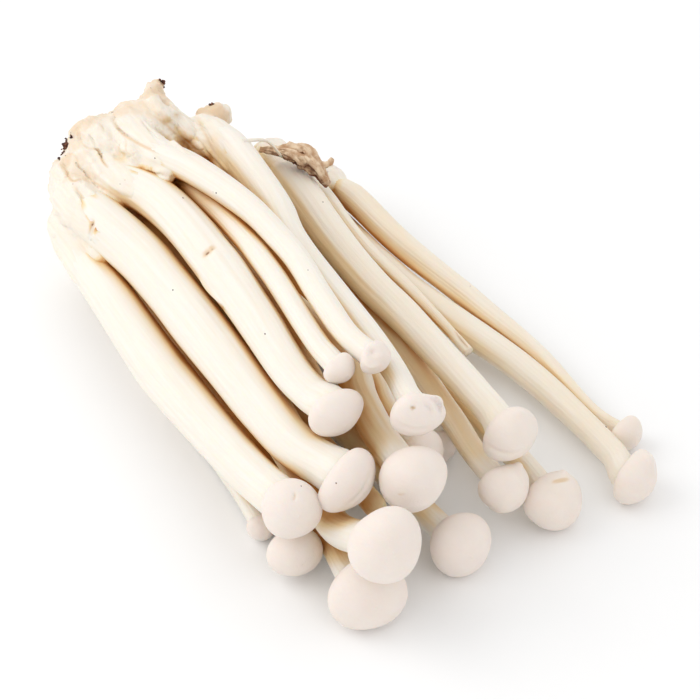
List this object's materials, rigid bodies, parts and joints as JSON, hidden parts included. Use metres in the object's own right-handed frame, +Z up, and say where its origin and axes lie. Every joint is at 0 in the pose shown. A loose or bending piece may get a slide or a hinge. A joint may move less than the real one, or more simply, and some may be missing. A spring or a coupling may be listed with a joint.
{
  "type": "white shimeji mushroom bunch",
  "caption": "Picked bunch of long white mushrooms lying on its side: slim cream stems fan out from a folded, brown-flecked root clump and end in small round caps.",
  "frame": {"origin": "on the surface that the bunch lies on, under the middle of its outer box", "axes": "+X from the root clump towards the caps, +Z up"},
  "size_m": [0.1722, 0.1062, 0.0502],
  "materials": {
    "mushroom_flesh": "satin",
    "root_tissue": "matte",
    "dried_tissue": "matte"
  },
  "bodies": {
    "root": {"mushroom_01": "mushroom_flesh", "mushroom_02": "mushroom_flesh", "mushroom_03": "mushroom_flesh", "mushroom_04": "mushroom_flesh", "mushroom_05": "mushroom_flesh", "mushroom_06": "mushroom_flesh", "mushroom_07": "mushroom_flesh", "mushroom_08": "mushroom_flesh", "mushroom_09": "mushroom_flesh", "mushroom_10": "mushroom_flesh", "mushroom_11": "mushroom_flesh", "mushroom_12": "mushroom_flesh", "mushroom_13": "mushroom_flesh", "mushroom_14": "mushroom_flesh", "mushroom_15": "mushroom_flesh", "mushroom_16": "mushroom_flesh", "mushroom_17": "mushroom_flesh", "mushroom_18": "mushroom_flesh", "mushroom_19": "mushroom_flesh", "torn_stem": "mushroom_flesh", "root_clump": "root_tissue", "withered_pin": "dried_tissue"}
  },
  "joints": []
}
